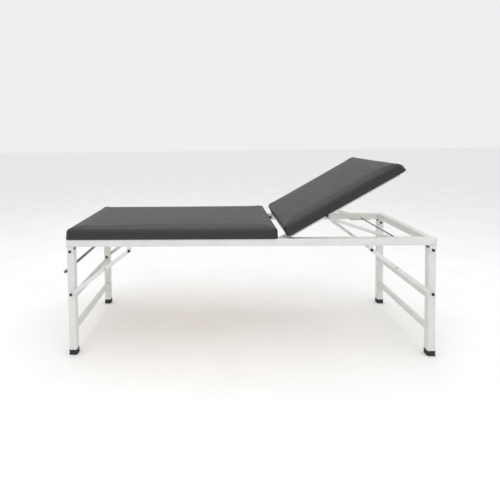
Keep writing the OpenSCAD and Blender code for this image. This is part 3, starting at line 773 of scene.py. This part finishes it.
def weld_run(bm, line, size, place):
    """A weld bead along a straight line, rippled every 2 mm."""
    start, end = Vector(line[0]), Vector(line[1])
    length = (end - start).length
    bead = bmesh.new()
    ring = bmesh.ops.create_circle(bead, cap_ends=True, segments=8, radius=size)["verts"]
    extruded(bead, list(ring[0].link_faces), length)
    lengthwise = [e for e in bead.edges if abs(e.verts[0].co.z - e.verts[1].co.z) > 1e-6]
    bmesh.ops.subdivide_edges(bead, edges=lengthwise, cuts=max(3, int(length)))
    for v in bead.verts:
        swell = 0.85 + 0.15 * math.sin(v.co.z * math.pi)
        if v.co.z < 0.01 or v.co.z > length - 0.01:
            swell = 0.4
        v.co.x *= swell
        v.co.y *= swell
    turn = (end - start).to_track_quat("Z", "Y").to_matrix().to_4x4()
    bmesh.ops.transform(bead, matrix=place @ Matrix.Translation(start) @ turn, verts=bead.verts)
    shape = bpy.data.meshes.new("bead")
    bead.to_mesh(shape)
    bead.free()
    bm.from_mesh(shape)
    bpy.data.meshes.remove(shape)


def weld_round(bm, size, place):
    """A weld round the end of a square tube, in the plane of its own X and Y."""
    half = size / 2
    for i in range(4):
        turn = Matrix.Rotation(i * math.pi / 2, 4, "Z")
        weld_run(bm, [(half, -half + 2, 0), (half, half - 2, 0)], WELD, place @ turn)


def welds():
    """Weld beads where the tubes meet, under the same powder coat."""
    here, sideways = Matrix.Identity(4), Matrix.Rotation(math.pi / 2, 4, "X")
    crossbar = high("crossbar_head_upper").x - low("crossbar_head_upper").x
    for end in ENDS:
        bm = bmesh.new()
        for level in ("upper", "lower"):
            mid = box_middle("crossbar_%s_%s" % (end, level))
            for y in (low("crossbar_head_upper").y, high("crossbar_head_upper").y):
                weld_round(bm, crossbar, Matrix.Translation((mid.x, y, mid.z)) @ sideways)
        finish_piece(bm, "crossbar_welds_" + end, end + "_legs", STEEL)
    bm = bmesh.new()
    for node in ("cross_rail_mid", "cross_rail_hinge"):
        a, b = low(node), high(node)
        for y in (a.y, b.y):
            for x in (a.x, b.x):
                weld_run(bm, [(x, y, a.z + 2), (x, y, b.z - 2)], WELD, here)
            weld_run(bm, [(a.x + 2, y, a.z), (b.x - 2, y, a.z)], WELD, here)
    edge = 17  # half the length of a bracket's welds, and their distance from its middle
    for end in ENDS:
        for side in SIDES:
            web = box_middle("leg_bracket_%s_%s" % (end, side))
            for x in (web.x - edge, web.x + edge):
                weld_run(bm, [(x, web.y - edge, rail_low - 0.6), (x, web.y + edge, rail_low - 0.6)], 1.7, here)
    inner_x, inner_y = high("side_rail_near").x - middle - rail_size, rail_half - rail_size
    for x in (middle - inner_x, middle + inner_x):
        for y in (-inner_y, inner_y):
            weld_run(bm, [(x, y, rail_low + 3), (x, y, rail_top - 3)], 1.8, here)
    stitch = 24  # each rack hangs on two short welds, 8 mm in from its ends
    for y in (-inner_y, inner_y):
        for x in (low("prop_rack_near").x + 8, high("prop_rack_near").x - 8 - stitch):
            weld_run(bm, [(x, y, rail_low), (x + stitch, y, rail_low)], 1.6, here)
    finish_piece(bm, "frame_welds", "frame", STEEL)
    bm = bmesh.new()
    inside = back_outer - back_tube
    for node in ("back_cross_lower", "back_cross_upper"):
        flat = on_backrest().inverted() @ box_middle(node)
        for y in (-inside, inside):
            weld_round(bm, back_tube, on_backrest() @ Matrix.Translation((flat.x, y, 0)) @ sideways)
    finish_piece(bm, "backrest_welds", "backrest", STEEL)


def tube_caps():
    """Push-in plastic caps in the open ends of the backrest's side tubes."""
    bm = bmesh.new()
    flange, plug = back_tube / 2, back_tube / 2 - LIGHT_TUBE[0] - 0.1
    for side in SIDES:
        middle_y = back_outer - back_tube / 2
        for x, out in zip(back_ends, (-1, 1)):
            turn = Matrix.Rotation(math.radians(90 * out), 4, "Y")
            place = back_side(side) @ Matrix.Translation((x, 0, middle_y)) @ turn
            slab(bm, (-flange, flange), (-flange, flange), (0, 2), place, ALL_CORNERS, 2.5, rim=0.7)
            slab(bm, (-plug, plug), (-plug, plug), (-12, 0.5), place, rim=0.4)
    finish_piece(bm, "backrest_tube_caps", "backrest", PLASTIC)


def rubber_tips():
    """Moulded tips: a plain cup with a rolled lip at the top, a slightly wider foot and a grooved tread."""
    for end in ENDS:
        for side in SIDES:
            node, bm = "rubber_tip_%s_%s" % (end, side), bmesh.new()
            mid, tall = box_middle(node), high(node).z
            half = (high(node).x - low(node).x) / 2
            verts = bmesh.ops.create_grid(bm, x_segments=1, y_segments=1, size=half)["verts"]
            bmesh.ops.bevel(bm, geom=verts, offset=6.5, segments=6, profile=0.5, affect="VERTICES",
                            material=-1)
            base = bm.faces[:]
            # each step up: height, and how far the wall stands in from the widest outline
            steps = [(0, 1.6), (1.2, 0.5), (3, 0), (6, 0.2), (8, 1.1), (19, 1.4), (21, 1.0), (22.5, 0.3),
                     (24.5, 0), (26.2, 0.4), (tall, 1.2), (tall, 2.3), (tall - 3, 2.45), (5, 2.45)]
            outline = [(v.co.x, v.co.y) for v in bm.verts]
            extruded_profile(bm, base, steps, outline, half)
            tread = [f for f in bm.faces if all(abs(v.co.z) < 1e-6 for v in f.verts)]
            for inset, depth in ((6, 0), (2, 1.4), (3, 0), (2, -1.4)):
                bmesh.ops.inset_individual(bm, faces=tread, thickness=inset)
                bmesh.ops.translate(bm, vec=(0, 0, depth), verts=list({v for f in tread for v in f.verts}))
            bmesh.ops.transform(bm, matrix=Matrix.Translation((mid.x, mid.y, 0)), verts=bm.verts)
            finish_piece(bm, node + "_moulding", end + "_legs", RUBBER, [node])


def extruded_profile(bm, faces, steps, outline, half):
    """Raises a cap face through a list of (height, inset) steps. The last cap closes the shape."""
    cap = faces
    for face in faces:
        for v in face.verts:
            v.co.z = steps[0][0]
            shrink(v, steps[0][1], half)
    for i, (level, inset) in enumerate(steps[1:]):
        result = bmesh.ops.extrude_face_region(bm, geom=cap)["geom"]
        if i:
            bmesh.ops.delete(bm, geom=cap, context="FACES_ONLY")
        cap = [g for g in result if isinstance(g, bmesh.types.BMFace)]
        for v in (g for g in result if isinstance(g, bmesh.types.BMVert)):
            nearest = min(outline, key=lambda p: abs(math.atan2(p[1], p[0]) - math.atan2(v.co.y, v.co.x)))
            v.co.x, v.co.y, v.co.z = nearest[0], nearest[1], level
            shrink(v, inset, half)


def shrink(v, inset, half):
    """Moves a point on the widest outline in towards the middle."""
    factor = (half - inset) / half
    v.co.x *= factor
    v.co.y *= factor


# ---------- pads ----------


def fall(d, r):
    """How far a rounded edge of radius r has dropped at a distance d in from the side."""
    return 0.0 if d >= r else r - math.sqrt(max(0.0, r * r - (r - d) ** 2))


def pad_blank(length, width, height_mm, head_round):
    """The cut foam block, a little smaller than the finished pad, as a net of quads about 10 mm apart. The
    head end can be rounder than the other edges."""
    top_round, net = 20, 10
    bm = bmesh.new()
    bmesh.ops.create_cube(bm, size=1, matrix=Matrix.Translation((length / 2, 0, height_mm / 2))
                          @ Matrix.Diagonal((length, width, height_mm, 1)))
    uprights = [e for e in bm.edges if abs(e.verts[0].co.z - e.verts[1].co.z) > 1]
    bmesh.ops.bevel(bm, geom=uprights, offset=28, segments=8, profile=0.5, affect="EDGES", material=-1)
    top = [e for e in bm.edges if all(v.co.z > height_mm - 0.01 for v in e.verts)]
    bmesh.ops.bevel(bm, geom=top, offset=top_round, segments=6, profile=0.5, affect="EDGES", material=-1)
    bottom = [e for e in bm.edges if all(v.co.z < 0.01 for v in e.verts)]
    bmesh.ops.bevel(bm, geom=bottom, offset=7, segments=3, profile=0.5, affect="EDGES", material=-1)
    for axis, start, stop in (((1, 0, 0), 0, length), ((0, 1, 0), -width / 2, width / 2), ((0, 0, 1), 0, 40)):
        count = round((stop - start) / net)
        for i in range(1, count):
            at = start + (stop - start) * i / count
            bmesh.ops.bisect_plane(bm, geom=bm.verts[:] + bm.edges[:] + bm.faces[:], dist=0.05,
                                   plane_co=Vector(axis) * at, plane_no=axis)
    for v in bm.verts:
        extra = fall(length - v.co.x, head_round) - fall(length - v.co.x, top_round)
        v.co.z -= v.co.z / height_mm * max(0.0, extra)
    bmesh.ops.remove_doubles(bm, verts=bm.verts, dist=0.6)
    return bm


def swollen(bm, name, cap_mm):
    """Blows the cover up with a cloth simulation, held along the stapled underside, and keeps each point
    within cap_mm of the cut foam. The faces are put in a fixed order first, so that the cover swells the same
    way each time."""
    bm.verts.index_update()
    in_order = sorted(bm.faces, key=lambda f: sorted(v.index for v in f.verts))
    rank = {face: i for i, face in enumerate(in_order)}
    bm.faces.sort(key=lambda f: rank[f])
    bmesh.ops.recalc_face_normals(bm, faces=bm.faces)
    bmesh.ops.scale(bm, vec=(MM, MM, MM), verts=bm.verts)
    mesh = bpy.data.meshes.new(name)
    bm.to_mesh(mesh)
    bm.free()
    before = [v.co.copy() for v in mesh.vertices]
    blown = bpy.data.objects.new(name + "_blank", mesh)
    scene.collection.objects.link(blown)
    held = blown.vertex_groups.new(name="stapled")
    held.add([v.index for v in mesh.vertices if v.co.z < 5 * MM], 1.0, "REPLACE")
    cloth = blown.modifiers.new("cover", "CLOTH")
    settings = cloth.settings
    settings.quality = 4
    settings.mass = 0.6
    settings.tension_stiffness = 30
    settings.compression_stiffness = 30
    settings.bending_stiffness = 2
    settings.use_pressure = True
    settings.uniform_pressure_force = 4
    settings.vertex_group_mass = "stapled"
    settings.effector_weights.gravity = 0
    last = 20
    cloth.point_cache.frame_start, cloth.point_cache.frame_end = 1, last
    for step in range(1, last + 1):
        scene.frame_set(step)
    seen = blown.evaluated_get(bpy.context.evaluated_depsgraph_get())
    after = [v.co.copy() for v in seen.data.vertices]
    bpy.data.objects.remove(blown)
    scene.frame_set(1)
    cap = cap_mm * MM
    for v, was, now in zip(mesh.vertices, before, after):
        move = now - was
        if move.length > 1e-9:
            v.co = was + move.normalized() * cap * (1 - math.exp(-move.length / cap))
    return mesh


def upholstered(name, node, body, length, head_round, place):
    """A pad: cover drawn over foam and round the edges of its board, with tucked corners."""
    width, tall = 2 * outer("seat_pad"), 60
    start, rise_left = 0.5, 4  # the cut foam is this much smaller all round, and this much lower
    bm = pad_blank(length - 2 * start, width - 2 * start, tall - rise_left, head_round)
    bmesh.ops.translate(bm, vec=(start, 0, 0), verts=bm.verts)
    mesh = swollen(bm, name, 5)
    half_x, half_y = length / 2 * MM, width / 2 * MM
    normals = [v.normal.copy() for v in mesh.vertices]
    for v, normal in zip(mesh.vertices, normals):
        x, y, z = v.co.x - half_x, v.co.y, v.co.z
        # the long sides draw in a little between the corners, most at the top edge
        along_side = max(0.0, 1 - (x / half_x) ** 2)
        across_side = max(0.0, 1 - (y / half_y) ** 2)
        rise = min(1.0, z / (tall * MM))
        if abs(y) > half_y * 0.75:
            v.co.y -= math.copysign(1.6 * MM * along_side * rise, y)
        if abs(x) > half_x * 0.9:
            v.co.x -= math.copysign(1.2 * MM * across_side * rise, x)
        # tucks gathered under the corners, fading out upwards
        reach_x, reach_y = half_x - abs(x), half_y - abs(y)
        near_corner = max(0.0, 1 - math.hypot(max(0, reach_x - 8 * MM), max(0, reach_y - 8 * MM)) / (34 * MM))
        if near_corner > 0 and z < 34 * MM:
            turn = math.atan2(half_y - 28 * MM - abs(y), half_x - 28 * MM - abs(x))
            depth = 1.1 * MM * near_corner * (1 - z / (34 * MM)) * (0.5 + 0.5 * math.cos(turn * 14))
            inward = Vector((-math.copysign(1, x), -math.copysign(1, y), 0)).normalized()
            v.co += inward * depth
        # faint slack in the cover
        v.co += normal * 0.45 * MM * noise.noise(Vector((x * 9, y * 9, z * 12 + len(name))))
        # the underside is hollow over the board
        inside = min(half_x - abs(x), half_y - abs(y))
        if z < 3 * MM:
            v.co.z = 2 * MM * min(1.0, max(0.0, (inside - 10 * MM) / (8 * MM)))
    mesh.transform(Matrix.Diagonal((1 / MM, 1 / MM, 1 / MM, 1)))
    bm = bmesh.new()
    bm.from_mesh(mesh)
    bpy.data.meshes.remove(mesh)
    bmesh.ops.transform(bm, matrix=place, verts=bm.verts)
    pad = finish_piece(bm, name, body, VINYL, [node], 180)
    smooth = pad.modifiers.new("smooth", "SUBSURF")
    smooth.levels = smooth.render_levels = 1


def turned_under(name, body, length, place, band=44):
    """The cover's edge, turned under the board and stapled, with a raw cut edge."""
    width = 2 * outer("seat_pad")
    bm = bmesh.new()
    verts = bmesh.ops.create_grid(bm, x_segments=1, y_segments=1, size=1, matrix=Matrix.Translation(
        (length / 2, 0, -0.35)) @ Matrix.Diagonal((length / 2 - 5, width / 2 - 5, 1, 1)))["verts"]
    bmesh.ops.bevel(bm, geom=verts, offset=24, segments=8, profile=0.5, affect="VERTICES", material=-1)
    middle_face = bm.faces[:]
    bmesh.ops.inset_individual(bm, faces=middle_face, thickness=band)
    bmesh.ops.delete(bm, geom=middle_face, context="FACES_ONLY")
    lengthwise = [e for e in bm.edges if e.calc_length() > 60]
    bmesh.ops.subdivide_edges(bm, edges=lengthwise, cuts=60, use_grid_fill=True)
    for v in bm.verts:
        inside = min(length / 2 - abs(v.co.x - length / 2), width / 2 - abs(v.co.y))
        if inside > band - 3:
            wander = 1.2 * noise.noise(Vector((v.co.x / 25, v.co.y / 25, 3)))
            v.co.x += wander
            v.co.y += wander
    extruded(bm, bm.faces[:], 0.9)
    bmesh.ops.transform(bm, matrix=place, verts=bm.verts)
    finish_piece(bm, name, body, VINYL)


def staples(name, body, length, place):
    """A row of staples along each side. Only the flat wire crowns show."""
    width, edge, spacing = 2 * outer("seat_pad"), 28, 32
    bm = bmesh.new()
    half_x, half_y = length / 2 - edge, width / 2 - edge
    rows = []
    for count, reach, fixed, turn in ((round(2 * half_x / spacing), half_x, half_y, 0),
                                      (round(2 * half_y / spacing), half_y, half_x, math.pi / 2)):
        for i in range(1, count):
            for side in (-1, 1):
                at = -reach + 2 * reach * i / count
                x, y = (at, side * fixed) if turn == 0 else (side * fixed, at)
                rows.append((length / 2 + x, y, turn + 0.25 * noise.noise(Vector((x, y, 1)))))
    for x, y, turn in rows:
        slab(bm, (-5, 5), (-0.6, 0.6), (-0.46, -0.1), place @ Matrix.Translation((x, y, 0))
             @ Matrix.Rotation(turn, 4, "Z"), rim=0)
    finish_piece(bm, name, body, ZINC)


def pads():
    """The seat pad on the frame, and the back pad on the backrest's tubes."""
    seat_place = Matrix.Translation((low("seat_pad").x, 0, rail_top))
    back_place = on_backrest() @ Matrix.Translation((back_pad_start, 0, back_tube / 2))
    seat_length = high("seat_pad").x - low("seat_pad").x
    for name, node, body, length, head_round, place in (
            ("seat_pad_cover", "seat_pad", "frame", seat_length, 20, seat_place),
            ("back_pad_cover", "back_pad", "backrest", back_pad_length, 42, back_place)):
        upholstered(name, node, body, length, head_round, place)
        turned_under(name + "_turned_edge", body, length, place)
        staples(name + "_staples", body, length, place)


# ---------- camera, floor and light ----------


def camera():
    """Stands at about eye height in front of the couch, a little to the left, and looks straight across."""
    yaw, pitch, roll = 0.029, 0.043, -0.013
    data = bpy.data.cameras.new("camera")
    data.sensor_width = 36
    data.lens = 26.904
    data.shift_x, data.shift_y = 0.0816, -0.1923
    data.clip_end = 50
    eye = bpy.data.objects.new("camera", data)
    scene.collection.objects.link(eye)
    cy, sy, cp, sp, cr, sr = (f(a) for a in (yaw, pitch, roll) for f in (math.cos, math.sin))
    right = Vector((cr * cy - sr * sp * sy, cr * sy + sr * sp * cy, sr * cp))
    up = Vector((-sr * cy - cr * sp * sy, -sr * sy + cr * sp * cy, cr * cp))
    back = Vector((cp * sy, -cp * cy, sp))
    eye.matrix_world = Matrix.Translation((-0.1426 + middle * MM, -2.2247, 1.1330)) @ Matrix(
        (right, up, back)).transposed().to_4x4()
    scene.camera = eye


def studio():
    """A white floor in a white room, with a large soft light above, one in front and one to each side."""
    bm = bmesh.new()
    bmesh.ops.create_grid(bm, x_segments=1, y_segments=1, size=30)
    mesh = bpy.data.meshes.new("studio_floor")
    bm.to_mesh(mesh)
    bm.free()
    paint, tree, place = start_material("white_studio_floor")
    patches = add(tree, "TexNoise", {"Vector": place, "Scale": every(400), "Detail": 2})
    tone = add(tree, "ValToRGB", {"Fac": patches}, ((0.2, linear("#f4f4f4")), (0.8, linear("#fafafa"))))
    surface(tree, {"Base Color": tone, "Roughness": 0.9})
    mesh.materials.append(paint)
    floor = bpy.data.objects.new("studio_floor", mesh)
    scene.collection.objects.link(floor)
    for name, power, size, at, aim in (
            ("top_light", 42, 4.0, (0.0, -0.5, 3.4), (0, 0, 0.5)),
            ("front_light", 12, 3.0, (-1.0, -3.6, 1.9), (0, 0, 0.5)),
            ("right_light", 9, 2.5, (3.6, -0.8, 2.0), (0, 0, 0.5)),
            ("left_light", 5, 2.5, (-3.6, 0.6, 1.8), (0, 0, 0.5))):
        lamp = bpy.data.lights.new(name, "AREA")
        lamp.shape, lamp.size, lamp.energy = "SQUARE", size, power
        holder = bpy.data.objects.new(name, lamp)
        scene.collection.objects.link(holder)
        holder.location = at
        holder.rotation_euler = (Vector(aim) - Vector(at)).to_track_quat("-Z", "Y").to_euler()
    world = bpy.data.worlds.new("white_room")
    world.use_nodes = True
    world.node_tree.nodes["Background"].inputs["Color"].default_value = (1, 1, 1, 1)
    world.node_tree.nodes["Background"].inputs["Strength"].default_value = 0.86
    scene.world = world
    scene.view_settings.view_transform = "Standard"


# ---------- the couch ----------

camera()
studio()
rails()
plain_tubes()
legs()
leg_brackets()
braces()
brace_lugs()
prop_lugs()
racks_and_arms()
rods()
fasteners()
welds()
tube_caps()
rubber_tips()
pads()
for board, plywood in (("seat_board", SEAT_PLY), ("back_board", BACK_PLY)):
    frame["nodes"][board].data.materials.clear()
    frame["nodes"][board].data.materials.append(plywood)
